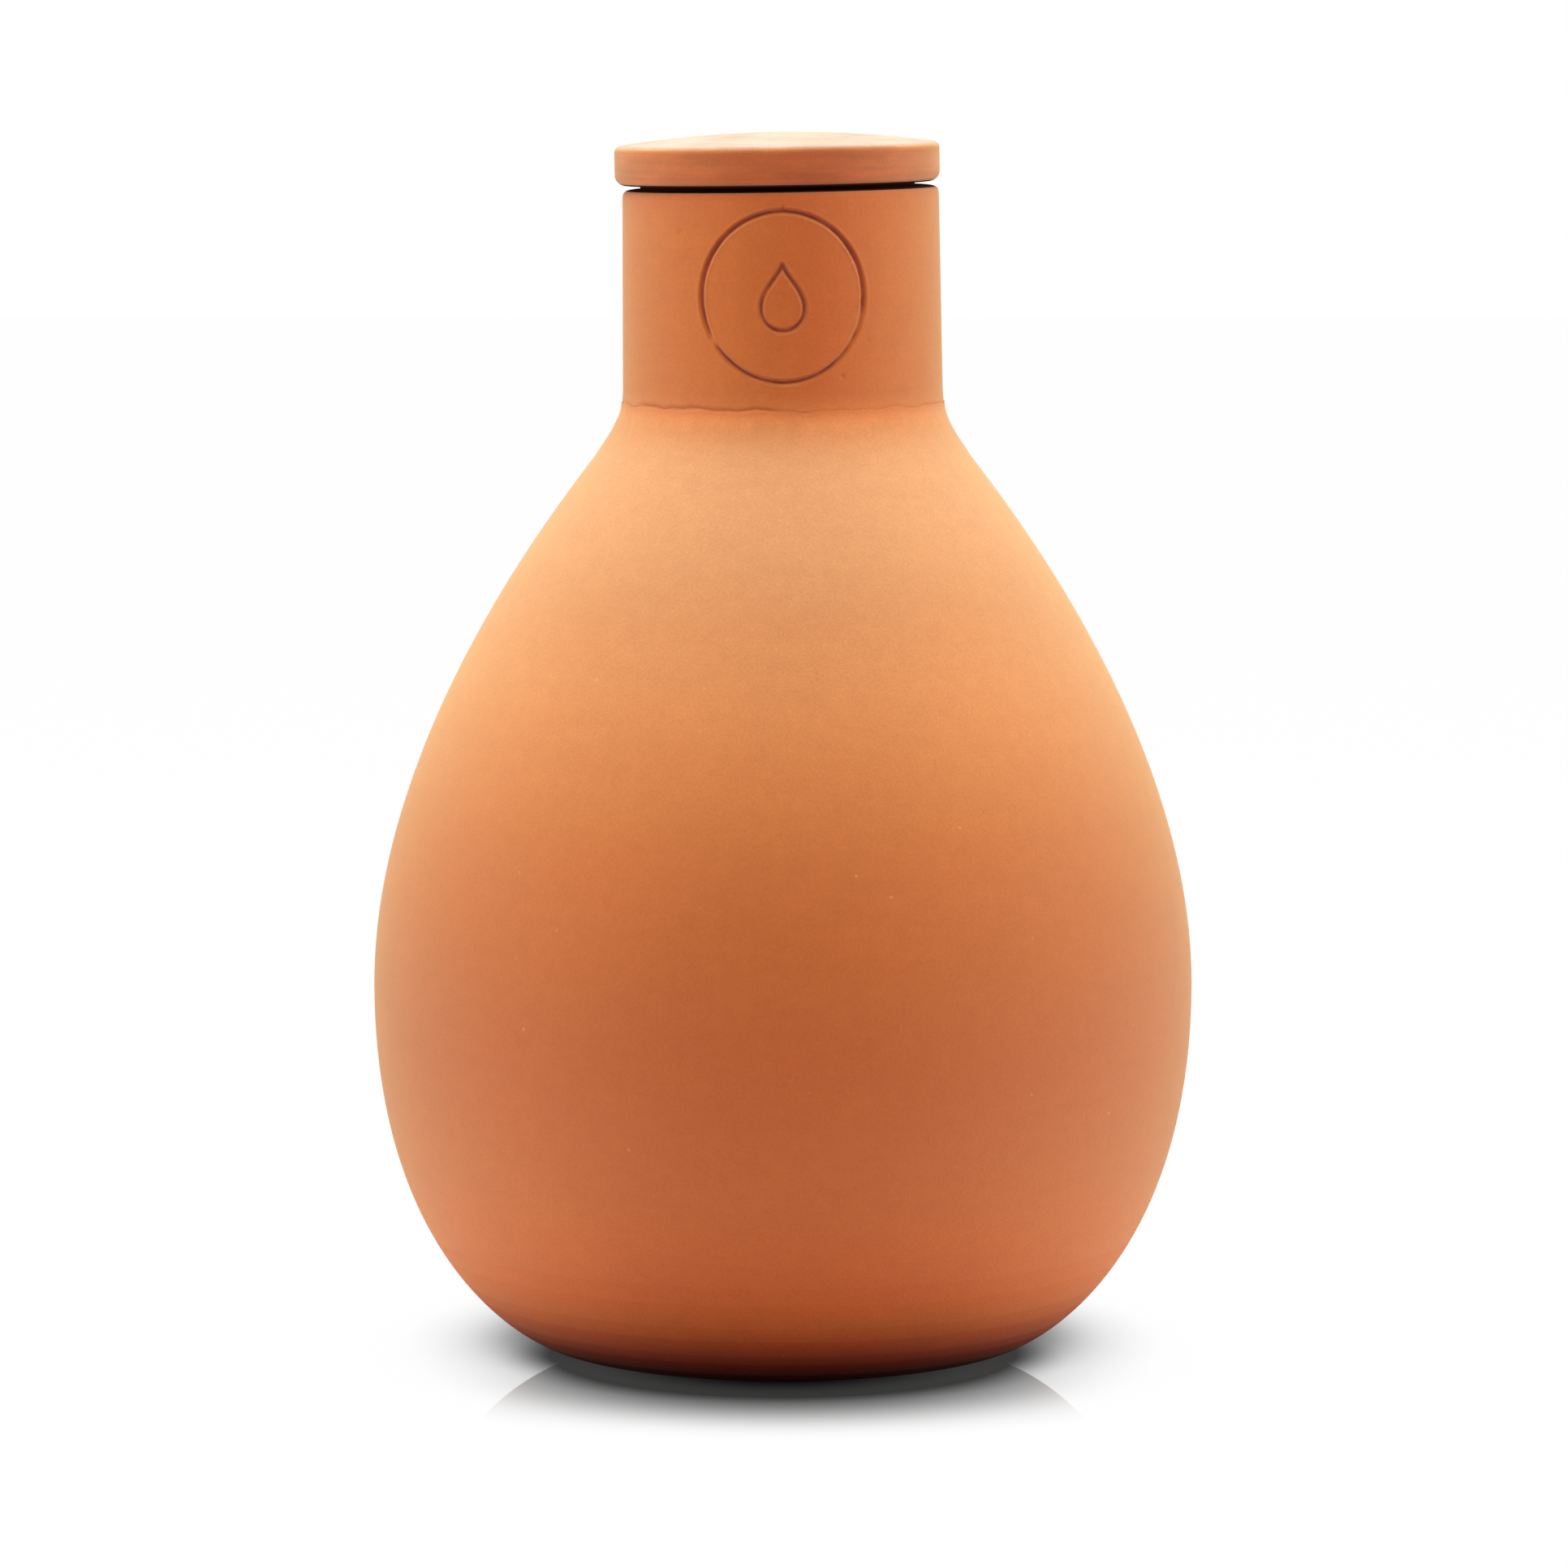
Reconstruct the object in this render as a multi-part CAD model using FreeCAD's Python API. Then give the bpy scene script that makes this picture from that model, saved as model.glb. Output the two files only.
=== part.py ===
import FreeCAD, Part
import math
import os

# Irrigation olla of unglazed terracotta, standing on its foot, with a loose lid on its neck.
# Millimetres, +Z up. The origin is the centre of the foot on the ground, and the stamp faces -Y.
# Two fired pieces: the pot, whose neck is luted to its bowl, and the lid, which only rests on it.

# The bowl, from the foot up to the seam where the neck is joined
FOOT_RADIUS = 59.7
BELLY_RADIUS = 105.0
BELLY_HEIGHT = 92.4
BOWL_HEIGHT = 241.9
WALL = 8.0
FLOOR = 10.0

# How full its curves are: each pull is a share of the height that the curve climbs
FOOT_PULL = 0.07
LOWER_BELLY_PULL = 0.774
UPPER_BELLY_PULL = 0.496
SHOULDER_PULL = 0.037

# The hollow sweep that turns the shoulder up into the neck, with its lean in degrees from upright
SWEEP_HEIGHT = 13.5
SWEEP_SPREAD = 7.0
SHOULDER_LEAN = 31.6
SEAM_LEAN = 7.1
SWEEP_PULL = 0.26
SEAM_PULL = 0.41

# The neck, a tube made by itself: it tapers, leans to one side and leaves a ledge at the seam
NECK_RADIUS = 40.2
NECK_LENGTH = 54.6
NECK_TAPER = 0.6
NECK_LEAN = -0.6
SEAM_LEDGE = 0.25

# The lip: a flat land for the lid, between a small inner edge and a soft outer one
RIM_TILT = 0.95
LAND_WIDTH = 2.0
LIP_INNER_EDGE = 1.0
LIP_DROP = 2.6
LIP_OVERCUT = 0.1
TRIMMED_STOCK = 10.0

# The stamp pressed into the front of the neck: a ring, with the outline of a water drop in it
STAMP_BELOW = 6.4
STAMP_ABOVE = 4.6
STAMP_SHIFT = 0.2
GROOVE_WIDTH = 1.1
GROOVE_DEPTH = 0.6
DROP_LENGTH = 18.0
DROP_WIDTH = 12.0
DROP_SIDE_PULL = 0.4
DROP_TIP_PULL = 0.35
DROP_TIP_SPREAD = 0.3

# The lid: a domed disc, with a low seat below it and a turned ring that keeps it in the mouth
LID_OVERHANG = 1.1
LID_SHIFT = -0.8
LID_EDGE = 9.9
LID_DOME_RISE = 3.0
LID_TOP_ROUND = 1.5
LID_BOTTOM_ROUND = 2.7
LID_CROWN = 10.5
SEAT_HEIGHT = 0.95
SEAT_SETBACK = 0.3
KEEPER_CLEARANCE = 1.6
KEEPER_WALL = 5.0
KEEPER_DEPTH = 8.0
KEEPER_ROUNDING = 0.3

# Worked out from the sizes above
NECK_SEAM_RADIUS = NECK_RADIUS + NECK_TAPER
RIM_HEIGHT = BOWL_HEIGHT + NECK_LENGTH
BORE_RADIUS = NECK_RADIUS - WALL
LIP_OUTER_EDGE = WALL - LIP_INNER_EDGE - LAND_WIDTH
LAND_OUTER_RADIUS = NECK_RADIUS - LIP_OUTER_EDGE
STAMP_RADIUS = (NECK_LENGTH - STAMP_BELOW - STAMP_ABOVE) / 2
STAMP_HEIGHT = BOWL_HEIGHT + STAMP_BELOW + STAMP_RADIUS
LID_RADIUS = NECK_RADIUS + LID_OVERHANG

AXIS = FreeCAD.Vector(0, 0, 1)


def point(radius, height):
    """A point of an outline, which is drawn in the XZ plane."""
    return FreeCAD.Vector(radius, 0, height)


def rising(lean):
    """Unit vector along a wall that rises and leans inwards by so many degrees."""
    return point(-math.sin(math.radians(lean)), math.cos(math.radians(lean)))


def outward(lean):
    """Unit vector that points straight out of a wall with that lean."""
    return point(math.cos(math.radians(lean)), math.sin(math.radians(lean)))


def line(start, end):
    return Part.LineSegment(start, end).toShape()


def curve(start, start_pull, end_pull, end):
    """Cubic curve that leaves its start along one pull and reaches its end along the other."""
    bezier = Part.BezierCurve()
    bezier.setPoles([start, start + start_pull, end - end_pull, end])
    return bezier.toShape()


def quarter(centre, across, up):
    """Quarter of a circle or an ellipse about a centre, from its side to its top or bottom."""
    side = centre + point(across, 0)
    top = centre + point(0, up)
    if math.isclose(abs(across), abs(up)):
        middle = centre + point(across, up) * math.sqrt(0.5)
        return Part.Arc(side, middle, top).toShape()
    handle = 4 / 3 * (math.sqrt(2) - 1)
    return curve(side, point(0, up * handle), point(-across * handle, 0), top)


def turn(edges):
    """Solid that a closed outline makes when it is turned about the upright axis."""
    outline = Part.Wire(Part.sortEdges(edges)[0])
    return Part.Face(outline).revolve(FreeCAD.Vector(), AXIS, 360)


def bowl(inset, bottom, seam_radius):
    """Solid bowl up to the seam, with its side moved inwards and its bottom raised."""
    foot = point(FOOT_RADIUS, bottom)
    belly = point(BELLY_RADIUS - inset, BELLY_HEIGHT)
    shoulder = point(NECK_SEAM_RADIUS + SWEEP_SPREAD, BOWL_HEIGHT - SWEEP_HEIGHT)
    shoulder = shoulder - outward(SHOULDER_LEAN) * inset
    seam = point(seam_radius, BOWL_HEIGHT)
    lower = belly.z - foot.z
    upper = shoulder.z - belly.z
    sweep = seam.z - shoulder.z
    return turn([
        line(point(0, bottom), foot),
        curve(foot, outward(0) * FOOT_PULL * lower, rising(0) * LOWER_BELLY_PULL * lower, belly),
        curve(belly, rising(0) * UPPER_BELLY_PULL * upper,
              rising(SHOULDER_LEAN) * SHOULDER_PULL * upper, shoulder),
        curve(shoulder, rising(SHOULDER_LEAN) * SWEEP_PULL * sweep,
              rising(SEAM_LEAN) * SEAM_PULL * sweep, seam),
        line(seam, point(0, BOWL_HEIGHT)),
        line(point(0, BOWL_HEIGHT), point(0, bottom)),
    ])


def neck(inset, top):
    """Solid neck from the seam up, tapering and leaning, with its side moved inwards."""
    rings = []
    for height in (BOWL_HEIGHT, top):
        climb = (height - BOWL_HEIGHT) / NECK_LENGTH
        centre = FreeCAD.Vector(NECK_LEAN * climb, 0, height)
        radius = NECK_SEAM_RADIUS - NECK_TAPER * climb - inset
        rings.append(Part.Wire(Part.Circle(centre, AXIS, radius).toShape()))
    return Part.makeLoft(rings, True, True)


def on_rim(shape, shift):
    """Put a shape that was turned about the origin on the tilted rim, moved along it."""
    tilt = FreeCAD.Rotation(FreeCAD.Vector(0, 1, 0), -RIM_TILT)
    rim = FreeCAD.Placement(point(NECK_LEAN, RIM_HEIGHT), tilt)
    shape.Placement = rim.multiply(FreeCAD.Placement(point(shift, 0), FreeCAD.Rotation()))
    return shape


def lip_trim():
    """All that is trimmed off the end of the neck, down to the rounded outline of the lip."""
    inner = point(BORE_RADIUS + LIP_INNER_EDGE - LIP_OVERCUT, -LIP_INNER_EDGE)
    outer = point(LAND_OUTER_RADIUS, -LIP_DROP)
    side = LAND_OUTER_RADIUS + LIP_OUTER_EDGE + LIP_OVERCUT
    past_side = side + TRIMMED_STOCK
    past_top = 2 * TRIMMED_STOCK
    return on_rim(turn([
        line(point(0, inner.z), point(inner.x - LIP_INNER_EDGE, inner.z)),
        quarter(inner, -LIP_INNER_EDGE, LIP_INNER_EDGE),
        line(point(inner.x, 0), point(outer.x, 0)),
        quarter(outer, side - outer.x, LIP_DROP),
        line(point(side, outer.z), point(past_side, outer.z)),
        line(point(past_side, outer.z), point(past_side, past_top)),
        line(point(past_side, past_top), point(0, past_top)),
        line(point(0, past_top), point(0, inner.z)),
    ]), 0)


def ring_outline(inset):
    """The stamp's round outline as the front shows it, wrapped round the neck."""
    height = STAMP_RADIUS - inset
    width = NECK_RADIUS * math.sin(height / NECK_RADIUS)
    ellipse = Part.Ellipse(point(0, height), point(width, 0), FreeCAD.Vector())
    return Part.Face(Part.Wire(ellipse.toShape()))


def drop_outline(inset):
    """A water drop: a round bottom, and two sides that sweep up to a point."""
    half_width = DROP_WIDTH / 2 - inset
    middle = point(0, (DROP_WIDTH - DROP_LENGTH) / 2)
    tip = point(0, DROP_LENGTH / 2 - 2 * inset)
    climb = tip.z - middle.z
    edges = []
    for side in (-half_width, half_width):
        tip_pull = point(-side * DROP_TIP_SPREAD, climb * DROP_TIP_PULL)
        edges.append(quarter(middle, side, -half_width))
        edges.append(curve(middle + point(side, 0), point(0, climb * DROP_SIDE_PULL), tip_pull, tip))
    return Part.Face(Part.Wire(Part.sortEdges(edges)[0]))


def stamp_grooves():
    """The grooves that the stamp leaves, pressed to one depth into the neck's round front."""
    push = FreeCAD.Vector(0, -NECK_SEAM_RADIUS - TRIMMED_STOCK, 0)
    grooves = []
    for outline in (ring_outline, drop_outline):
        face = outline(0).cut(outline(GROOVE_WIDTH))
        face.translate(point(STAMP_SHIFT, STAMP_HEIGHT))
        grooves.append(face.extrude(push).cut(neck(GROOVE_DEPTH, RIM_HEIGHT)))
    return grooves


def build_pot():
    """Bowl and neck as one hollow fired piece, open at the lip."""
    neck_top = RIM_HEIGHT + TRIMMED_STOCK
    outside = bowl(0, 0, NECK_SEAM_RADIUS + SEAM_LEDGE).fuse(neck(0, neck_top))
    inside = bowl(WALL, FLOOR, NECK_SEAM_RADIUS - WALL).fuse(neck(WALL, neck_top))
    return outside.cut(inside).cut(lip_trim()).cut(stamp_grooves())


def round_rim(shape, radius, height, fillet):
    """Round the edge of a turned shape that is a circle of this radius at this height."""
    near = 0.01
    edges = []
    for edge in shape.Edges:
        box = edge.BoundBox
        level = max(abs(box.ZMin - height), abs(box.ZMax - height)) < near
        if level and abs(box.XMax - radius) < near:
            edges.append(edge)
    return shape.makeFillet(fillet, edges)


def build_lid():
    """Domed disc whose seat lies on the lip's land, with the keeper ring hanging below it."""
    seat_radius = LAND_OUTER_RADIUS - SEAT_SETBACK
    keeper_outer = BORE_RADIUS - KEEPER_CLEARANCE
    keeper_inner = keeper_outer - KEEPER_WALL
    edge_top = SEAT_HEIGHT + LID_EDGE
    crown = edge_top + LID_DOME_RISE
    ceiling = crown - LID_CROWN
    dome_radius = (LID_RADIUS ** 2 + LID_DOME_RISE ** 2) / (2 * LID_DOME_RISE)
    half_way = LID_RADIUS / 2
    dome_middle = point(half_way, crown - dome_radius + math.sqrt(dome_radius ** 2 - half_way ** 2))
    lid = turn([
        line(point(0, ceiling), point(keeper_inner, ceiling)),
        line(point(keeper_inner, ceiling), point(keeper_inner, -KEEPER_DEPTH)),
        line(point(keeper_inner, -KEEPER_DEPTH), point(keeper_outer, -KEEPER_DEPTH)),
        line(point(keeper_outer, -KEEPER_DEPTH), point(keeper_outer, 0)),
        line(point(keeper_outer, 0), point(seat_radius, 0)),
        line(point(seat_radius, 0), point(seat_radius, SEAT_HEIGHT)),
        line(point(seat_radius, SEAT_HEIGHT), point(LID_RADIUS, SEAT_HEIGHT)),
        line(point(LID_RADIUS, SEAT_HEIGHT), point(LID_RADIUS, edge_top)),
        Part.Arc(point(LID_RADIUS, edge_top), dome_middle, point(0, crown)).toShape(),
        line(point(0, crown), point(0, ceiling)),
    ])
    lid = round_rim(lid, LID_RADIUS, edge_top, LID_TOP_ROUND)
    lid = round_rim(lid, LID_RADIUS, SEAT_HEIGHT, LID_BOTTOM_ROUND)
    lid = round_rim(lid, keeper_outer, -KEEPER_DEPTH, KEEPER_WALL * KEEPER_ROUNDING)
    lid = round_rim(lid, keeper_inner, -KEEPER_DEPTH, KEEPER_WALL * KEEPER_ROUNDING)
    return on_rim(lid, LID_SHIFT)


os.makedirs("parts", exist_ok=True)
for name, build in (("olla_body", build_pot), ("lid", build_lid)):
    shape = build()
    print(name, "solids", len(shape.Solids), "valid", shape.isValid(), "mm3", round(shape.Volume))
    shape.Solids[0].exportStep("parts/" + name + ".step")
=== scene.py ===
import math
import bpy
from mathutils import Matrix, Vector, noise
from mathutils.geometry import interpolate_bezier
from mathutils.kdtree import KDTree


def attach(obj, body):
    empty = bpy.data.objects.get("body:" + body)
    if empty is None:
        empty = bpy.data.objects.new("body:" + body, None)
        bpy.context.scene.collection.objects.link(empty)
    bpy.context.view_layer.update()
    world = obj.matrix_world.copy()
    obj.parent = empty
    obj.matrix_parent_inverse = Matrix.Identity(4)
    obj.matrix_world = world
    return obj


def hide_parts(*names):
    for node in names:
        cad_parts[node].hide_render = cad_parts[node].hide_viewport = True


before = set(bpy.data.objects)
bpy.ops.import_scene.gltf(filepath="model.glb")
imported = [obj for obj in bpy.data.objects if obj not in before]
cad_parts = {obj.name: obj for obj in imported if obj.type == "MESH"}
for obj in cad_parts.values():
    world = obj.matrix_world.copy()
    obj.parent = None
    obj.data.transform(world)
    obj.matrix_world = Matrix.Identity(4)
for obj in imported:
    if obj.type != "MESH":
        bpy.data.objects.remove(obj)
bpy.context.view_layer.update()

bpy.context.scene.view_settings.view_transform = "Standard"


# The pot
# A bowl and its neck, two pieces of thrown clay luted together wet and fired once, unglazed.
# The wall is turned round on the wheel, so it is drawn as half a section and spun.
mm = 0.001
foot_radius = 59.7
belly_radius = 105.0
belly_height = 92.4
shoulder_radius = 47.8
shoulder_height = 228.4
shoulder_lean = 31.6
seam_height = 241.9
seam_lean = 7.1
wall = 8.0
floor_thickness = 10.0
neck_radius = 40.2
neck_length = 54.6
neck_taper = 0.6
neck_lean = -0.6
seam_ledge = 0.25
rim_tilt = 0.95
land_width = 2.0
lip_inner_edge = 1.0
lip_drop = 2.6
rim_height = seam_height + neck_length
seam_radius = neck_radius + neck_taper
bore_radius = neck_radius - wall
land_radius = bore_radius + lip_inner_edge + land_width

# How far the bowl's curve runs on along each end of its three stretches before it turns, as a
# share of that stretch's height, and the length of the two long stretches
foot_pull = 0.07
belly_pull_below = 0.774
belly_pull_above = 0.496
shoulder_pull_below = 0.037
shoulder_pull_above = 0.26
seam_pull = 0.41
lower_length = 112
upper_length = 150


def at(radius, height):
    """A point of a half section, given in millimetres from the axis and the ground."""
    return Vector((radius, 0, height)) * mm


def rising(lean):
    """Unit vector along a wall that rises and leans inwards by so many degrees."""
    return Vector((-math.sin(math.radians(lean)), 0, math.cos(math.radians(lean))))


def straight(start, end, steps):
    """Evenly spaced points of a straight stretch, without its first one."""
    return [start.lerp(end, step / steps) for step in range(1, steps + 1)]


def curved(start, start_pull, end_pull, end, steps):
    """Points of a curved stretch that leaves and arrives along its pulls, without its first one."""
    return interpolate_bezier(start, start + start_pull, end - end_pull, end, steps + 1)[1:]


def rounded(start, corner, end, steps, handle=0.552):
    """Points of a round from one side of a corner to the other, without its first one.
    The handle that draws a quarter circle is the usual one, and a longer one is crisper."""
    return curved(start, (corner - start) * handle, (end - corner) * handle, end, steps)


def bowl_side(inset, bottom, seam, spacing):
    """Points up one side of the bowl's wall, from the foot to the seam, about so far apart."""
    foot = at(foot_radius, bottom)
    belly = at(belly_radius - inset, belly_height)
    lean = math.radians(shoulder_lean)
    through_wall = Vector((math.cos(lean), 0, math.sin(lean)))
    shoulder = at(shoulder_radius, shoulder_height) - through_wall * inset * mm
    lower = belly.z - foot.z
    upper = shoulder.z - belly.z
    sweep = seam.z - shoulder.z
    points = [foot]
    points += curved(foot, Vector((foot_pull * lower, 0, 0)), rising(0) * belly_pull_below * lower,
                     belly, round(lower_length / spacing))
    points += curved(belly, rising(0) * belly_pull_above * upper,
                     rising(shoulder_lean) * shoulder_pull_below * upper,
                     shoulder, round(upper_length / spacing))
    points += curved(shoulder, rising(shoulder_lean) * shoulder_pull_above * sweep,
                     rising(seam_lean) * seam_pull * sweep, seam, 16)
    return points


def spin_section(name, section, steps):
    """Draw a half section by extruding one vertex along it, then spin it into a closed solid."""
    bpy.ops.object.select_all(action="DESELECT")
    bpy.ops.mesh.primitive_plane_add(size=mm)
    piece = bpy.context.object
    piece.name = name
    piece.data.name = name
    bpy.ops.object.mode_set(mode="EDIT")
    bpy.ops.mesh.select_mode(type="VERT")
    bpy.ops.mesh.select_all(action="SELECT")
    bpy.ops.mesh.merge(type="CENTER")
    bpy.ops.transform.translate(value=section[0])
    for here, there in zip(section, section[1:]):
        bpy.ops.mesh.extrude_vertices_move(TRANSFORM_OT_translate={"value": there - here})
    bpy.ops.mesh.select_all(action="SELECT")
    bpy.ops.mesh.spin(steps=steps, angle=math.tau, center=(0, 0, 0), axis=(0, 0, 1))
    bpy.ops.mesh.select_all(action="SELECT")
    bpy.ops.mesh.remove_doubles(threshold=0.002 * mm)
    bpy.ops.mesh.normals_make_consistent(inside=False)
    bpy.ops.object.mode_set(mode="OBJECT")
    return piece


def divide_faces(piece, wanted, cuts):
    """Subdivide the faces of a piece whose middle, in millimetres, the test wants."""
    bpy.ops.object.mode_set(mode="EDIT")
    bpy.ops.mesh.select_mode(type="FACE")
    bpy.ops.mesh.select_all(action="DESELECT")
    bpy.ops.object.mode_set(mode="OBJECT")
    for face in piece.data.polygons:
        face.select = wanted(face.center / mm)
    bpy.ops.object.mode_set(mode="EDIT")
    bpy.ops.mesh.subdivide(number_cuts=cuts)
    bpy.ops.object.mode_set(mode="OBJECT")


outer_seam = at(seam_radius + seam_ledge, seam_height)
inner_seam = at(seam_radius - wall, seam_height)
outer_side = bowl_side(0, 0, outer_seam, 2.8)
inner_side = bowl_side(wall, floor_thickness, inner_seam, 4.5)
lip_side = at(neck_radius, rim_height - lip_drop)
land_outside = at(land_radius, rim_height)
land_inside = at(bore_radius + lip_inner_edge, rim_height)
bore_top = at(bore_radius, rim_height - lip_inner_edge)
section = [at(0, 0)]
section += straight(at(0, 0), outer_side[0], 4)
section += outer_side[1:]
section.append(at(seam_radius, seam_height))
section += straight(section[-1], section[-1].lerp(lip_side, 0.08), 5)
section += straight(section[-1], lip_side, 36)
section += rounded(lip_side, at(neck_radius, rim_height), land_outside, 12, handle=0.88)
section += straight(land_outside, land_inside, 2)
section += rounded(land_inside, at(bore_radius, rim_height), bore_top, 5)
section += straight(bore_top, inner_seam, 20)
section += inner_side[-2::-1]
section += straight(inner_side[0], at(0, floor_thickness), 4)
pot = spin_section("olla_pot", section, 192)

# The stamp on the front of the neck, pressed into the soft clay with a cut block: a ring with the
# outline of a water drop in it. Nicks are small pits beside it where grit was dragged out, each
# with its place across, its height, its radius and its depth.
stamp_centre = Vector((0.2, 270.1))
ring_reach = Vector((20.2, 21.25))
groove_half_width = 0.55
groove_depth = 0.8
drop_half_width = 5.45
drop_bottom = Vector((0, -3.0))
drop_tip = Vector((0, 7.9))
nicks = ((14.9, 250.3, 0.6, 0.22),
         (-24.9, 286.4, 0.8, 0.16),
         (-20.7, 287.8, 1.1, 0.10),
         (-23.7, 279.7, 1.2, 0.10),
         (-22.6, 281.6, 0.7, 0.10),
         (0.6, 292.2, 0.6, 0.35),
         (21.5, 259.0, 0.6, 0.12),
         (-6.2, 246.4, 0.6, 0.10))
groove_margin = 2.4
seam_margin = 4


def drop_line():
    """Points along the middle of the drop's groove, in the plane of the stamp."""
    points = []
    climb = drop_tip.y - drop_bottom.y
    for step in range(41):
        turn = math.pi * step / 40
        points.append(drop_bottom + Vector((math.cos(turn), -math.sin(turn))) * drop_half_width)
    for side in (-drop_half_width, drop_half_width):
        low = drop_bottom + Vector((side, 0))
        high = drop_tip - Vector((-side * 0.3, climb * 0.35))
        points += interpolate_bezier(low, low + Vector((0, climb * 0.4)), high, drop_tip, 40)
    return points


drop_points = drop_line()
drop_tree = KDTree(len(drop_points))
for index, spot in enumerate(drop_points):
    drop_tree.insert((spot.x, spot.y, 0), index)
drop_tree.balance()


def from_ring(x, height):
    """Millimetres outwards from the middle of the ring's groove."""
    offset = Vector((x, height)) - stamp_centre
    share = math.hypot(offset.x / ring_reach.x, offset.y / ring_reach.y)
    return (share - 1) * ring_reach.y


def from_drop(x, height):
    """Millimetres from the middle of the drop's groove."""
    offset = Vector((x, height)) - stamp_centre
    return drop_tree.find((offset.x, offset.y, 0))[2]


def from_nick(x, height):
    """Millimetres from the middle of the nearest nick."""
    return min(math.hypot(x - nick[0], height - nick[1]) for nick in nicks)


def on_neck_front(spot):
    """Whether a point in millimetres is on the outer front face of the neck."""
    return (spot.y < -25 and seam_height < spot.z < rim_height - lip_drop
            and math.hypot(spot.x, spot.y) > neck_radius - 1)


def near_grooves(spot):
    """Whether a point is where the mesh has to be fine enough for the stamp or a nick."""
    return on_neck_front(spot) and (abs(from_ring(spot.x, spot.z)) < groove_margin
                                    or from_drop(spot.x, spot.z) < groove_margin
                                    or from_nick(spot.x, spot.z) < groove_margin)


def near_seam(spot):
    """Whether a point is where the mesh has to be fine enough for the seam."""
    return (abs(spot.z - seam_height) < seam_margin
            and math.hypot(spot.x, spot.y) > neck_radius - 1)


divide_faces(pot, near_grooves, 5)
divide_faces(pot, near_seam, 2)


def soft_step(start, end, value):
    """Smooth rise from 0 at the start to 1 at the end."""
    share = min(max((value - start) / (end - start), 0), 1)
    return share * share * (3 - 2 * share)


def bump(value, centre, width):
    """Bell curve of height 1."""
    return math.exp(-((value - centre) / width) ** 2)


def outline_radius(height):
    """Nominal outer radius near the seam and along the neck, in millimetres."""
    if height > seam_height:
        return seam_radius - neck_taper * (height - seam_height) / neck_length
    lower = min(range(len(outer_side) - 1), key=lambda i: abs(
        (outer_side[i].z + outer_side[i + 1].z) / 2 - height * mm))
    here, there = outer_side[lower], outer_side[lower + 1]
    share = (height * mm - here.z) / (there.z - here.z)
    return (here.x + (there.x - here.x) * share) / mm


def seam_sharpness(x, y):
    """How crisp the seam is: open at the front left, smeared over elsewhere at the front."""
    front = 0.06 + 0.94 * soft_step(3, -6, x) * soft_step(-38, -33, x)
    back = 0.35 + 0.5 * abs(noise.noise(Vector((x, y, 0)) * 0.06))
    return front + (back - front) * soft_step(-5, 12, y)


def seam_wave(x, y):
    """How far the hand-closed seam wanders up and down, in millimetres."""
    slow = noise.noise(Vector((x * 0.09, y * 0.09, 3.0)))
    quick = noise.noise(Vector((x, y, 9)) * 0.22)
    return 0.9 * slow + 0.5 * quick


def groove(distance):
    """Depth of a pressed line across its width, as a share, with soft walls and a thin burr."""
    side = abs(distance)
    pressed = 1 - soft_step(groove_half_width - 0.3, groove_half_width + 0.25, side)
    return pressed - 0.12 * bump(side, groove_half_width + 0.55, 0.3)


def pressed_in(x, height):
    """Depth of the stamp and the nicks in millimetres. The ring is broken at its lower left."""
    around = math.degrees(math.atan2(height - stamp_centre.y, x - stamp_centre.x))
    firm = 1 - 0.9 * bump(around, -146, 5) - 0.45 * bump(around, -30, 16)
    firm += 0.35 * noise.noise(Vector((x, height, 5)) * 0.3)
    ring = groove(from_ring(x, height)) * firm
    drop = groove(from_drop(x, height)) * (0.9 + 0.4 * noise.noise(Vector((x, height, 8)) * 0.3))
    pits = sum(depth * bump(math.hypot(x - across, height - up), 0, radius)
               for across, up, radius, depth in nicks)
    return groove_depth * (ring + drop) + pits


def dust_and_painted_light(x, y, over):
    """Share of a pale, yellowish tint on the neck, in random spots. It is painted light on the neck's sides,
    thinned at the front middle as painted shade, and thinner at the back and near the seam and the lip.
    """
    front_shade = bump(x, 9, 13) if y < 0 else 0.3
    along = 0.35 + 0.65 * soft_step(0, 9, over) * soft_step(neck_length, neck_length - 12, over)
    spots = 1 + 0.5 * noise.noise(Vector((x, y, over)) * 0.16)
    return soft_step(0, 2, over) * (1 - front_shade) * along * spots
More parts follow.
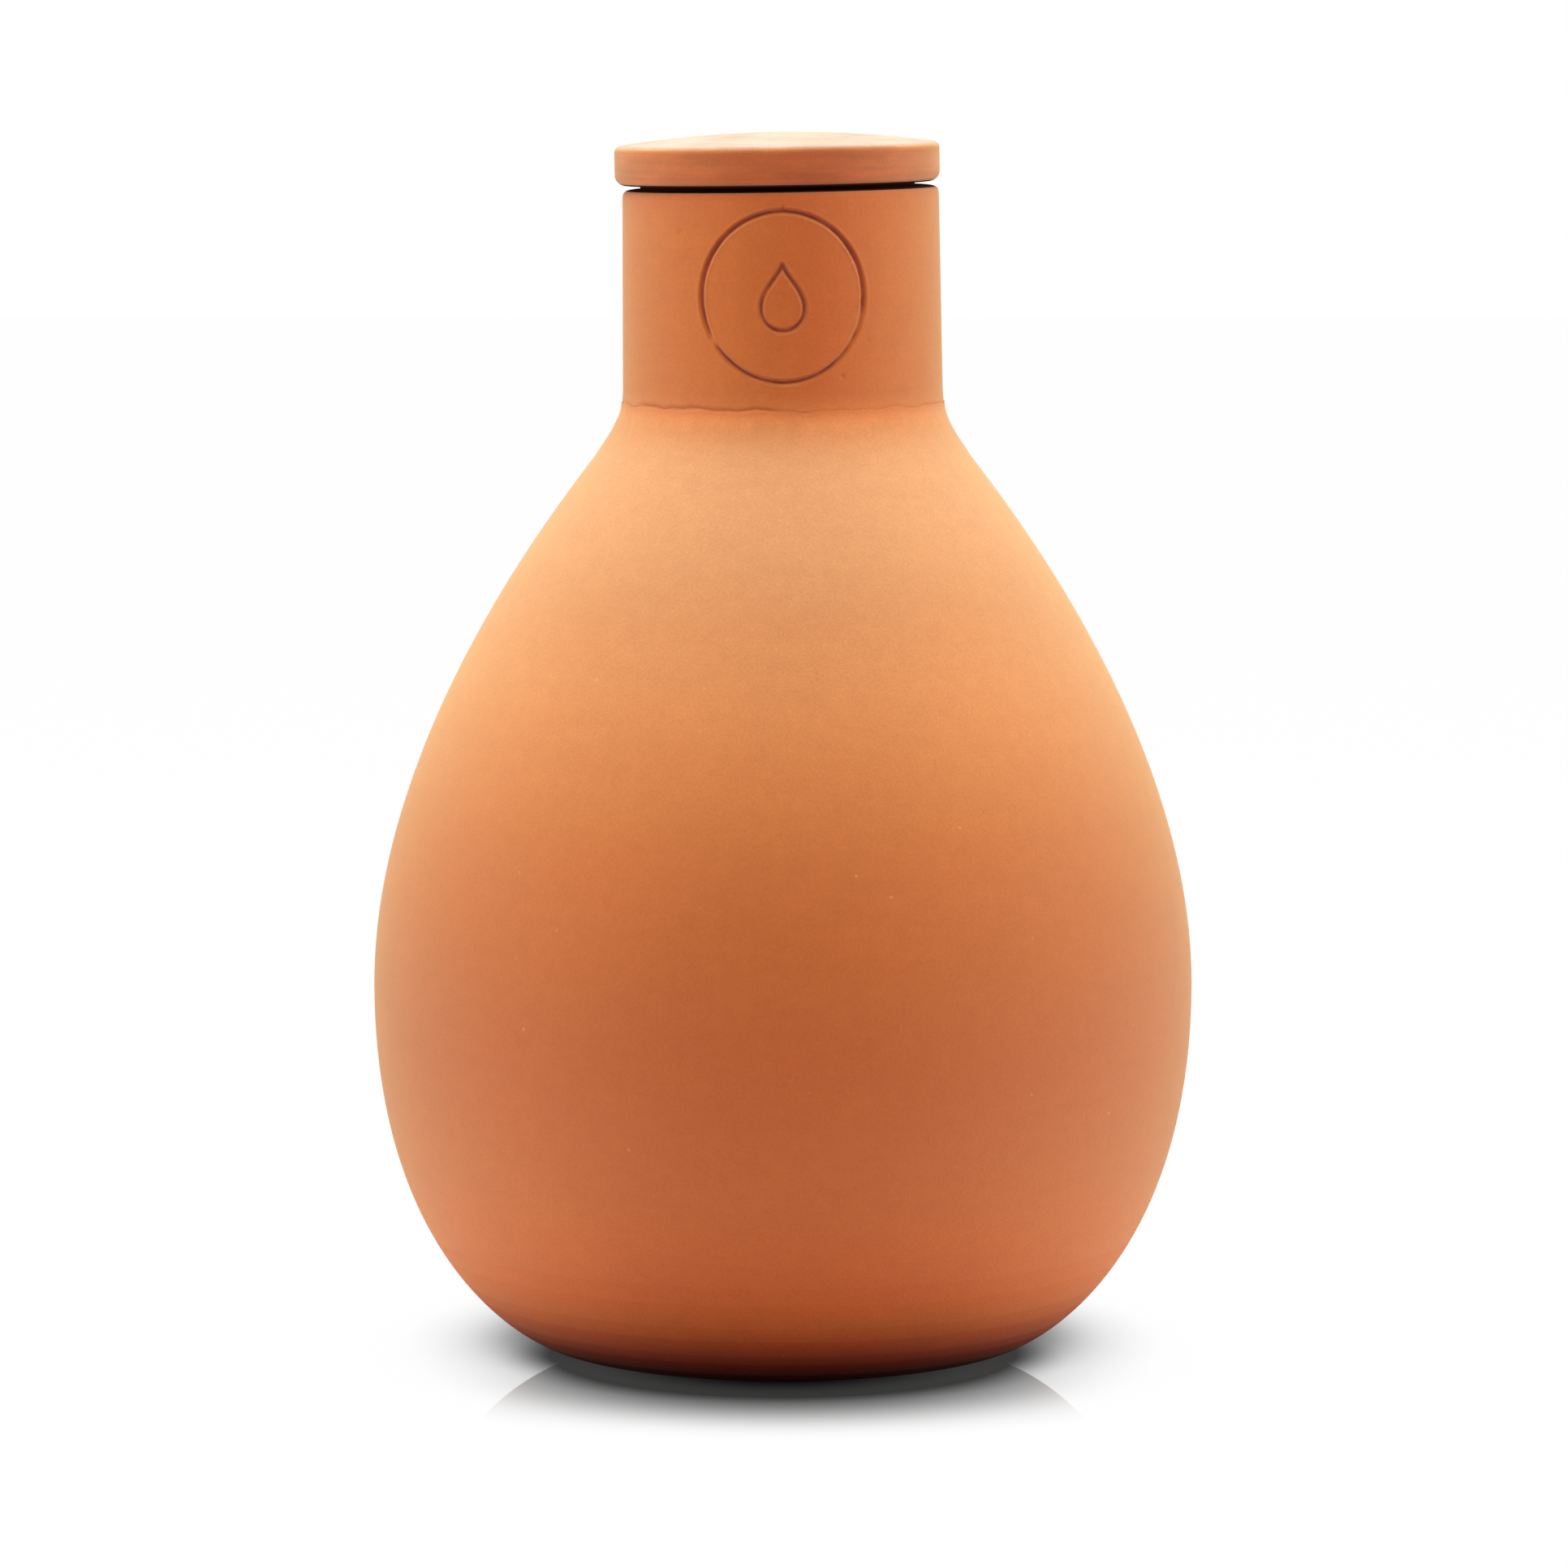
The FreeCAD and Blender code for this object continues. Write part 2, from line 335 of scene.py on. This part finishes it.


# Three attributes go with the shape. Painted shade darkens the upper wall of a pressed line and
# the seam's crease, where shade falls. Slip is what was wiped over the bowl just below the seam.
# Bloom is a pale tint on the neck, partly random and partly painted light, and it is a painted
# highlight along the lower wall of a pressed line.
lip_of_seam = 0.22
crease_of_seam = 0.3
smear_on_seam = 0.2
painted_shade_rise = 0.35
painted_highlight_drop = 0.65
seam_reach = 16
damp = pot.data.attributes.new("damp", "FLOAT", "POINT").data
slip = pot.data.attributes.new("slip", "FLOAT", "POINT").data
bloom = pot.data.attributes.new("bloom", "FLOAT", "POINT").data
for vertex in pot.data.vertices:
    spot = vertex.co / mm
    radius = math.hypot(spot.x, spot.y)
    height = spot.z
    over = height - seam_height
    if over < -seam_reach:
        continue
    outside = radius > neck_radius - 1.2
    if outside and height < rim_height - lip_drop:
        sharp = seam_sharpness(spot.x, spot.y)
        lump = 0.55 + 0.9 * noise.noise(Vector((spot.x, spot.y, 2)) * 0.35)
        lip = lip_of_seam * sharp * max(lump, 0) * bump(over, -0.5, 0.5)
        tuck = crease_of_seam * sharp * bump(over, 0.35, 0.45)
        fill = smear_on_seam * (1 - sharp) * bump(over, 0.5, 1.3)
        press = dark = lit = 0
        if spot.y < -25 and over > 0:
            press = pressed_in(spot.x, height)
            # Painted shade is the pressed depth taken a little higher up, so it darkens a line's upper wall.
            # The painted highlight is the depth a little lower down, on its lower wall
            dark = max(pressed_in(spot.x, height - painted_shade_rise) / groove_depth, 0)
            lit = max(pressed_in(spot.x, height + painted_highlight_drop) / groove_depth, 0)
        nominal = radius if abs(over) < 0.01 else outline_radius(height)
        scale = (nominal + lip - tuck + fill - press) / radius
        wave = seam_wave(spot.x, spot.y) * bump(over, 0, 3.5)
        streak = noise.noise(Vector((spot.x * 0.5, spot.y * 0.5, over * 0.12)))
        # Painted shade in the pressed lines and the seam's crease, and the neck's pale tint with the painted
        # highlight of the lines
        damp[vertex.index].value = 0.9 * min(dark + 1.2 * tuck, 1)
        bloom[vertex.index].value = dust_and_painted_light(spot.x, spot.y, over) + 0.8 * lit
        blur = 1 - sharp
        slip[vertex.index].value = (soft_step(0.2 + 1.6 * blur, -0.4 - 1.2 * blur, over)
                                    * soft_step(-6, -2, over + 2 * streak))
        spot = Vector((spot.x * scale, spot.y * scale, spot.z + wave))
    climb = max(over, 0) / neck_length
    spot.z += math.tan(math.radians(rim_tilt)) * spot.x * climb
    spot.x += neck_lean * climb
    vertex.co = spot * mm

bpy.ops.object.select_all(action="DESELECT")
pot.select_set(True)
bpy.context.view_layer.objects.active = pot
bpy.ops.object.shade_smooth_by_angle(angle=math.radians(40))


def linear(text):
    """Linear colour, with alpha 1, from an sRGB hex value."""
    values = [int(text[start:start + 2], 16) / 255 for start in (0, 2, 4)]
    return [v / 12.92 if v <= 0.04045 else ((v + 0.055) / 1.055) ** 2.4 for v in values] + [1]


def new_material(name):
    """An empty node material."""
    material = bpy.data.materials.new(name)
    material.use_nodes = True
    material.node_tree.nodes.clear()
    return material


def add(tree, kind, settings=None, links=None):
    """Add a node, set its colour stops, properties or input values, and link its inputs."""
    node = tree.nodes.new("ShaderNode" + kind)
    for key, value in (settings or {}).items():
        if key == "stops":
            elements = node.color_ramp.elements
            for element, (place, colour) in zip(elements, (value[0], value[-1])):
                element.position = place
                element.color = colour
            for place, colour in value[1:-1]:
                elements.new(place).color = colour
        elif isinstance(key, str) and hasattr(node, key):
            setattr(node, key, value)
        else:
            node.inputs[key].default_value = value
    for key, socket in (links or {}).items():
        tree.links.new(socket, node.inputs[key])
    return node


def grey(value):
    """A neutral colour."""
    return (value, value, value, 1)


def terracotta(name, direction, low, high, tones, line_depth, patch_depth, dust):
    """Low-fired unglazed terracotta, wiped smooth: dull, finely gritty and cloudy in tone.
    Its tones follow the height, or how far the surface looks up. Besides the clay's own tone
    they hold painted light and shade: paler where more light falls, darker where less does. The skin
    of fine dust is palest where it is seen edge on.
    The direction is the coordinate whose Z the tones follow from low to high. The depths are how
    much the turning lines and the patches change the tone, and dust is the skin's weight."""
    multiply = {"data_type": "RGBA", "blend_type": "MULTIPLY", "Factor": 1.0}
    cover = {"data_type": "RGBA"}
    material = new_material(name)
    tree = material.node_tree
    place = add(tree, "TexCoord")
    spot = place.outputs["Object"]
    split = add(tree, "SeparateXYZ", links={"Vector": spot})
    # The tones are the clay's own tone with painted light and shade in them
    rise = add(tree, "SeparateXYZ", links={"Vector": place.outputs[direction]}).outputs["Z"]
    share = add(tree, "MapRange", {"From Min": low, "From Max": high}, {"Value": rise})
    stops = [((value - low) / (high - low), linear(tone)) for value, tone in tones]
    tone_ramp = add(tree, "ValToRGB", {"stops": stops}, {"Fac": share.outputs["Result"]})
    tone_ramp.color_ramp.interpolation = "CARDINAL"
    colour = tone_ramp.outputs["Color"]

    # Slip wiped below the seam; painted shade in pressed lines, in the seam's crease and under the lid; and
    # a pale tint that is partly random, partly painted light and a painted highlight. All come from the
    # attributes of the pot and the lid
    for attribute, tint in (("slip", (1.12, 1.13, 1.2, 1)),
                            ("damp", linear("C35000")),
                            ("bloom", (1.05, 1.27, 1.24, 1))):
        share = add(tree, "Attribute", {"attribute_name": attribute}).outputs["Fac"]
        colour = add(tree, "Mix", {**multiply, 7: tint}, {"Factor": share, 6: colour}).outputs[2]

    # Clouds the size of a hand, blots of a few millimetres and fine grit. The real grit is about
    # 0.2 mm across, and it is drawn at 0.6 mm so that it shows.
    for size, darker, paler in ((0.05, (0.97, 0.97, 0.97, 1), (1.025, 1.025, 1.02, 1)),
                                (0.004, (0.978, 0.962, 0.962, 1), (1.02, 1.035, 1.03, 1)),
                                (0.0006, (0.93, 0.92, 0.92, 1), (1.06, 1.07, 1.07, 1))):
        grit = add(tree, "TexNoise", {"Scale": 1 / size, "Detail": 2.0}, {"Vector": spot}).outputs["Fac"]
        tone = add(tree, "ValToRGB", {"stops": [(0.3, darker), (0.7, paler)]}, {"Fac": grit})
        colour = add(tree, "Mix", multiply, {6: colour, 7: tone.outputs["Color"]}).outputs[2]

    # Patches of a thinner, paler skin, a few centimetres long and lying along the turning
    band = add(tree, "Mapping", {"Scale": (45, 45, 220)}, {"Vector": spot})
    patches = add(tree, "TexNoise", {"Scale": 1.0, "Detail": 3.0, "Roughness": 0.6},
                  {"Vector": band.outputs[0]})
    darker = (1 - patch_depth, 1 - 1.3 * patch_depth, 1 - 1.5 * patch_depth, 1)
    paler = (1 + patch_depth, 1 + 1.5 * patch_depth, 1 + 2 * patch_depth, 1)
    tone = add(tree, "ValToRGB", {"stops": [(0.35, darker), (0.5, grey(1)), (0.68, paler)]},
               {"Fac": patches.outputs["Fac"]})
    colour = add(tree, "Mix", multiply, {6: colour, 7: tone.outputs["Color"]}).outputs[2]

    # Turning lines about a millimetre apart, on the neck and the lid
    stretched = add(tree, "Mapping", {"Scale": (25, 25, 900)}, {"Vector": spot})
    lines = add(tree, "TexNoise", {"Scale": 1.0, "Detail": 2.0}, {"Vector": stretched.outputs[0]})
    above = add(tree, "MapRange", {"From Min": seam_height * mm, "From Max": (seam_height + 3) * mm},
                {"Value": split.outputs["Z"]}).outputs["Result"]
    tone = add(tree, "ValToRGB", {"stops": [(0.3, grey(1 - line_depth)), (0.7, grey(1 + line_depth))]},
               {"Fac": lines.outputs["Fac"]})
    tone = add(tree, "Mix", {**cover, 6: grey(1)}, {"Factor": above, 7: tone.outputs["Color"]})
    colour = add(tree, "Mix", multiply, {6: colour, 7: tone.outputs[2]}).outputs[2]

    # Rare lime spots, half a millimetre across
    cells = add(tree, "TexVoronoi", {"Scale": 1 / 0.009}, {"Vector": spot})
    near = add(tree, "MapRange", {"From Min": 0.035, "From Max": 0.06, "To Min": 1, "To Max": 0},
               {"Value": cells.outputs["Distance"]}).outputs["Result"]
    which = add(tree, "SeparateColor", links={"Color": cells.outputs["Color"]}).outputs["Red"]
    some = add(tree, "MapRange", {"From Min": 0.5, "From Max": 0.9, "To Max": 0.15},
               {"Value": which}).outputs["Result"]
    lime = add(tree, "Math", {"operation": "MULTIPLY"}, {0: near, 1: some}).outputs[0]
    colour = add(tree, "Mix", {**cover, 7: linear("F0C49C")}, {"Factor": lime, 6: colour}).outputs[2]

    # Relief: grit, turning lines, and tiny open pits where grit has dropped out
    holes = add(tree, "TexVoronoi", {"Scale": 1 / 0.007}, {"Vector": spot})
    pits = add(tree, "MapRange", {"From Min": 0.03, "From Max": 0.065, "To Min": -1, "To Max": 0},
               {"Value": holes.outputs["Distance"]}).outputs["Result"]
    ribs = add(tree, "Math", {"operation": "MULTIPLY"}, {0: lines.outputs["Fac"], 1: above}).outputs[0]
    height = add(tree, "Math", {"operation": "MULTIPLY", 1: 0.5}, {0: grit}).outputs[0]
    height = add(tree, "Math", {"operation": "MULTIPLY_ADD", 1: 0.6}, {0: pits, 2: height}).outputs[0]
    height = add(tree, "Math", {"operation": "MULTIPLY_ADD", 1: 12 * line_depth},
                 {0: ribs, 2: height}).outputs[0]
    relief_normal = add(tree, "Bump", {"Strength": 0.5, "Distance": 0.0002}, {"Height": height})

    shader = add(tree, "BsdfPrincipled",
                 {"Roughness": 0.85, "IOR": 1.5, "Specular IOR Level": 0.12,
                  "Sheen Weight": dust, "Sheen Roughness": 0.65, "Sheen Tint": linear("E6E6B6")},
                 {"Base Color": colour, "Normal": relief_normal.outputs["Normal"]})
    add(tree, "OutputMaterial", links={"Surface": shader.outputs["BSDF"]})
    return material


def painted_shade_terracotta():
    """A dark, dull clay put where there is only shade: it paints the shade in the gap below the lid and
    inside the mouth.
    """
    material = new_material("damp terracotta")
    tree = material.node_tree
    shader = add(tree, "BsdfPrincipled", {"Base Color": linear("3A1A10"), "Roughness": 0.9,
                                          "Specular IOR Level": 0.05})
    add(tree, "OutputMaterial", links={"Surface": shader.outputs["BSDF"]})
    return material


painted_shade_clay = painted_shade_terracotta()
# The pot's tones by height in metres are the clay's tone with painted light and shade in it. They are very
# dark at the foot as painted shade where it meets the table, paler on the shoulder as painted light from
# above, and darker on the neck as painted shade
pot_tones_and_painted_light = [(0, "4A0802"), (0.004, "8E1303"), (0.009, "C63608"), (0.016, "DC5814"), (0.03, "CE561C"),
             (0.05, "B85423"), (0.091, "AB4B1A"), (0.138, "B75D25"), (0.17, "C6763F"), (0.195, "C87F4C"),
             (0.228, "CF8C5A"), (0.239, "C16D38"), (0.246, "AF4D17")]

# The dust thins out towards the foot, in steps from these heights upwards, so that the foot keeps
# the painted shade of its tones. Faces this deep inside the neck's outer wall, or this deep into
# the round of the lip, get the dark clay that paints the shade in the gap below the lid and inside
# the mouth.
painted_shade_from = 1.3
painted_shade_lip_from = 0.75
full_dust = 0.5
dust_steps = ((0, 0.04), (3, 0.1), (6, 0.17), (9, 0.24), (13, 0.31), (18, 0.38), (24, 0.44), (30, full_dust))
for start, dust in dust_steps:
    name = "wiped terracotta, " + str(round(100 * dust / full_dust)) + " % dusty"
    pot.data.materials.append(terracotta(name, "Object", 0, 0.32, pot_tones_and_painted_light, 0.015, 0.012, dust))
pot.data.materials.append(painted_shade_clay)
for face in pot.data.polygons:
    middle = face.center / mm
    climb = max(middle.z - seam_height, 0) / neck_length
    depth = neck_radius - math.hypot(middle.x - neck_lean * climb, middle.y)
    below_rim = rim_height - middle.z + math.tan(math.radians(rim_tilt)) * middle.x * climb
    if climb > 0 and (depth > painted_shade_from or depth > painted_shade_lip_from and below_rim < lip_drop):
        face.material_index = len(dust_steps)
    else:
        face.material_index = max(sum(middle.z > start for start, dust in dust_steps) - 1, 0)
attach(pot, "root")
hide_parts("olla_body")


# The lid
# A domed disc of the same clay, turned by itself and fired, with a ring below that keeps it in the
# mouth. It is loose: its low seat lies on the lip, and a dark gap shows round it.
lid_radius = 41.3
lid_shift = -0.8
seat = 0.95
seat_inset = 0.3
seat_radius = land_radius - seat_inset
edge_thickness = 9.9
dome_rise = 3.0
thickness = 10.5
edge_top = seat + edge_thickness
crown = edge_top + dome_rise
ceiling = crown - thickness
top_round = 1.5
bottom_round = 2.7
keeper_clearance = 1.6
keeper_width = 5.0
keeper_outer = bore_radius - keeper_clearance
keeper_inner = keeper_outer - keeper_width
keeper_depth = -8.0
keeper_round = 1.5
dome_radius = (lid_radius ** 2 + (crown - edge_top) ** 2) / (2 * (crown - edge_top))


def dome(radius):
    """A point of the lid's domed top."""
    return at(radius, crown - dome_radius + math.sqrt(dome_radius ** 2 - radius ** 2))


keeper_top = at(keeper_inner, ceiling)
lid_section = [at(0, ceiling)]
lid_section += straight(at(0, ceiling), keeper_top, 3)
lid_section += straight(keeper_top, at(keeper_inner, keeper_depth + keeper_round), 3)
lid_section += rounded(lid_section[-1], at(keeper_inner, keeper_depth),
                       at(keeper_inner + keeper_round, keeper_depth), 5)
lid_section += straight(lid_section[-1], at(keeper_outer - keeper_round, keeper_depth), 2)
lid_section += rounded(lid_section[-1], at(keeper_outer, keeper_depth),
                       at(keeper_outer, keeper_depth + keeper_round), 5)
lid_section += straight(lid_section[-1], at(keeper_outer, 0), 4)
lid_section += straight(lid_section[-1], at(seat_radius, 0), 3)
lid_section += straight(lid_section[-1], at(seat_radius, seat), 2)
lid_section += straight(lid_section[-1], at(lid_radius - bottom_round, seat), 3)
lid_section += rounded(lid_section[-1], at(lid_radius, seat),
                       at(lid_radius, seat + bottom_round), 8)
lid_section += straight(lid_section[-1], at(lid_radius, edge_top - top_round), 6)
lid_section += rounded(lid_section[-1], at(lid_radius, edge_top), dome(lid_radius - top_round), 6)
lid_section += [dome((lid_radius - top_round) * (1 - step / 24)) for step in range(1, 25)]
lid = spin_section("olla_lid", lid_section, 192)

# The lid's edge is darker below, as painted shade where it sits in the gap. It is also a little darker at
# the front of its side, just right of the middle, as painted shade.
lid_painted_shade = lid.data.attributes.new("damp", "FLOAT", "POINT").data
for vertex in lid.data.vertices:
    spot = vertex.co / mm
    under = soft_step(seat + 1.2, seat + 0.2, spot.z)
    front_shade = 0.4 * bump(spot.x, 12, 13) * soft_step(0, -30, spot.y)
    front_shade *= soft_step(edge_top, edge_top - 1, spot.z)
    lid_painted_shade[vertex.index].value = min(under + front_shade, 1)

bpy.ops.object.mode_set(mode="EDIT")
bpy.ops.mesh.select_all(action="SELECT")
bpy.ops.transform.translate(value=at(lid_shift, 0))
bpy.ops.transform.rotate(value=math.radians(rim_tilt), orient_axis="Y", center_override=(0, 0, 0))
bpy.ops.transform.translate(value=at(neck_lean, rim_height))
bpy.ops.object.mode_set(mode="OBJECT")
bpy.ops.object.shade_smooth_by_angle(angle=math.radians(40))

# The lid's turning lines and patches are stronger than the pot's. Its tones follow how far the surface looks
# up and hold painted light and shade: the top is palest of all as painted light from above, and what looks
# down is darker as painted shade.
lid_tones_and_painted_light = [(-0.5, "A64A1E"), (0, "AB4E1F"), (0.5, "C47846"), (1, "CBADA2")]
lid.data.materials.append(terracotta("turned terracotta", "Normal", -1, 1, lid_tones_and_painted_light,
                                     0.08, 0.13, full_dust))
lid.data.materials.append(painted_shade_clay)

# The faces of the lid that get the dark clay of painted shade are all that look down, and the walls within
# this margin of the seat.
seat_margin = 0.5
for face in lid.data.polygons:
    middle = face.center / mm - Vector((neck_lean + lid_shift, 0, rim_height))
    inside = math.hypot(middle.x, middle.y) < seat_radius + seat_margin and face.normal.z < 0.5
    if face.normal.z < -0.8 or inside:
        face.material_index = 1
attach(lid, "root")
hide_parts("lid")


# The floor and the backdrop
# A pale table under a sheet of clear acrylic. The sheet's underside mirrors the foot a little below
# it. Close by, the table shows the pot's shadow, partly real and partly a painted shadow drawn with
# ovals and a darker tone of the table, and it turns to plain white further out.
sheet_thickness = 5.4


def lay_plane(name, size, height):
    """A level square about the origin."""
    bpy.ops.object.select_all(action="DESELECT")
    bpy.ops.mesh.primitive_plane_add(size=size, location=(0, 0, height * mm))
    bpy.context.object.name = name
    return bpy.context.object


def seen_directly(tree):
    """1 for the camera's rays, and for what gloss and glass show of the surroundings."""
    path = add(tree, "LightPath")
    either = add(tree, "Math", {"operation": "MAXIMUM"},
                 {0: path.outputs["Is Camera Ray"], 1: path.outputs["Is Glossy Ray"]}).outputs[0]
    return add(tree, "Math", {"operation": "MAXIMUM"},
               {0: either, 1: path.outputs["Is Transmission Ray"]}).outputs[0]


ground = lay_plane("ground", 12, -0.02)
table = new_material("white table below clear acrylic")
tree = table.node_tree
times = {"operation": "MULTIPLY"}
larger = {"operation": "MAXIMUM"}
seen = seen_directly(tree)
spot = add(tree, "TexCoord").outputs["Object"]
from_axis = add(tree, "VectorMath", {"operation": "LENGTH"}, {0: spot}).outputs["Value"]

# Distances from three ovals that draw the painted shadow, each with its stretch in depth and how far
# forward it lies: one that reaches out in front, one all round the foot, and one close in front
from_ovals = []
for stretch, forward in ((1.0, 0.034), (0.92, 0.004), (1.25, 0.0375)):
    oval = add(tree, "VectorMath",
               {"operation": "MULTIPLY_ADD", 1: (1, stretch, 1), 2: (0, forward, 0)}, {0: spot})
    from_oval = add(tree, "VectorMath", {"operation": "LENGTH"}, {0: oval.outputs["Vector"]})
    from_ovals.append(from_oval.outputs["Value"])
from_shadow, from_foot, from_contact = from_ovals

# Shares that change softly between two distances in metres: how far out of each oval of the
# painted shadow a place is, the faint painted light that lifts the shadow close to the foot, how
# pale the table's painted shadow tone is, and how much of the mirror shows
shares = []
for distance, start, end, low, high in ((from_shadow, 0.036, 0.098, 0, 1),
                                        (from_foot, 0.05, 0.103, 0, 1),
                                        (from_contact, 0.052, 0.074, 0, 1),
                                        (from_shadow, 0.022, 0.05, 0, 0.04),
                                        (from_shadow, 0.05, 0.13, 0, 1),
                                        (from_axis, 0.07, 0.12, 0, 1),
                                        (from_axis, 0.066, 0.086, 0, 0.36),
                                        (from_axis, 0.086, 0.136, 1, 0)):
    share = add(tree, "MapRange",
                {"interpolation_type": "SMOOTHSTEP", "From Min": start, "From Max": end,
                 "To Min": low, "To Max": high}, {"Value": distance})
    shares.append(share.outputs["Result"])
out_of_shadow, out_of_foot, out_of_contact, faint, pale_front, pale_round, mirror_near, mirror_far = shares

# The white that is seen leaves out the painted shadow's ovals, where the table's real shadow shows with a
# faint painted light in it. The table itself is darker near the pot as painted shadow and only gets paler
# further out.
far = add(tree, "Math", {"operation": "SMOOTH_MIN", 2: 0.1},
          {0: out_of_shadow, 1: out_of_foot}).outputs[0]
far = add(tree, "Math", times, {0: far, 1: out_of_contact}).outputs[0]
far = add(tree, "Math", larger, {0: far, 1: faint}).outputs[0]
white_out = add(tree, "Math", times, {0: far, 1: seen}).outputs[0]
pale = add(tree, "Math", times, {0: pale_front, 1: pale_round}).outputs[0]
tone = add(tree, "ValToRGB", {"stops": [(0, linear("2A2A28")), (1, linear("EEEEEE"))]}, {"Fac": pale})
matt = add(tree, "BsdfDiffuse", links={"Color": tone.outputs["Color"]})
glow = add(tree, "Emission", {"Color": grey(1), "Strength": 1.0})
both = add(tree, "MixShader", links={0: white_out, 1: matt.outputs[0], 2: glow.outputs[0]})

# The mirror shows through the sheet in a ring about the foot, and the table is no wall from below.
clear = add(tree, "Math", times, {0: mirror_near, 1: mirror_far}).outputs[0]
clear = add(tree, "Math", times, {0: clear, 1: seen}).outputs[0]
from_below = add(tree, "NewGeometry").outputs["Backfacing"]
clear = add(tree, "Math", larger, {0: clear, 1: from_below}).outputs[0]
through = add(tree, "BsdfTransparent")
surface = add(tree, "MixShader", links={0: clear, 1: both.outputs[0], 2: through.outputs[0]})
add(tree, "OutputMaterial", links={"Surface": surface.outputs[0]})
ground.data.materials.append(table)

# The underside is a mirror with the slight haze of a polished plastic.
underside = lay_plane("underside", 0.6, -sheet_thickness)
mirror = new_material("polished underside of the sheet")
gloss = add(mirror.node_tree, "BsdfGlossy", {"Color": grey(1), "Roughness": 0.02})
add(mirror.node_tree, "OutputMaterial", links={"Surface": gloss.outputs[0]})
underside.data.materials.append(mirror)

# The backdrop is plain white where it is seen, and lights the clay dimly, more from overhead.
world = bpy.context.scene.world or bpy.data.worlds.new("World")
bpy.context.scene.world = world
world.use_nodes = True
tree = world.node_tree
tree.nodes.clear()
direction = add(tree, "SeparateXYZ", links={"Vector": add(tree, "TexCoord").outputs["Generated"]})
overhead = add(tree, "MapRange",
               {"interpolation_type": "SMOOTHSTEP", "From Min": 0.0, "From Max": 0.6,
                "To Min": 0.2, "To Max": 0.56}, {"Value": direction.outputs["Z"]}).outputs["Result"]
strength = add(tree, "Math", larger, {0: overhead, 1: seen_directly(tree)}).outputs[0]
backdrop = add(tree, "Background", {"Color": grey(1)}, {"Strength": strength})
add(tree, "OutputWorld", links={"Surface": backdrop.outputs[0]})


# The lamps
# Four softboxes stand round the pot as in a product booth: a large one overhead, a little behind
# it, one high in front, and a smaller one at each side. They face the middle of the pot.
def softbox(name, place, size, power):
    """Area lamp that faces the middle of the pot."""
    bpy.ops.object.light_add(type="AREA", location=place)
    lamp = bpy.context.object
    lamp.name = name
    lamp.data.shape = "RECTANGLE"
    lamp.data.size, lamp.data.size_y = size
    lamp.data.energy = power
    aim = Vector((0, 0, 0.15)) - Vector(place)
    lamp.rotation_euler = aim.to_track_quat("-Z", "Y").to_euler()


softbox("overhead softbox", (0, 0.25, 1.5), (1.4, 1.4), 11.3)
softbox("front softbox", (0, -0.8, 1.3), (1.4, 0.9), 9.4)
for side in (-1.2, 1.2):
    softbox("side softbox", (side, 0, 0.55), (0.5, 1.0), 8.9)


# The camera
# It stands 1.8 m in front of the pot, a little above its lid, and looks slightly down. Place and
# lens are the ones at which the pot's outline fits the picture of the real one.
camera_place = (0.00027, -1.8, 0.3426)
looks_down = 6.303
bpy.ops.object.camera_add(location=camera_place, rotation=(math.radians(90 - looks_down), 0, 0))
camera = bpy.context.object
camera.data.lens = 162.06
camera.data.sensor_width = 36
bpy.context.scene.camera = camera
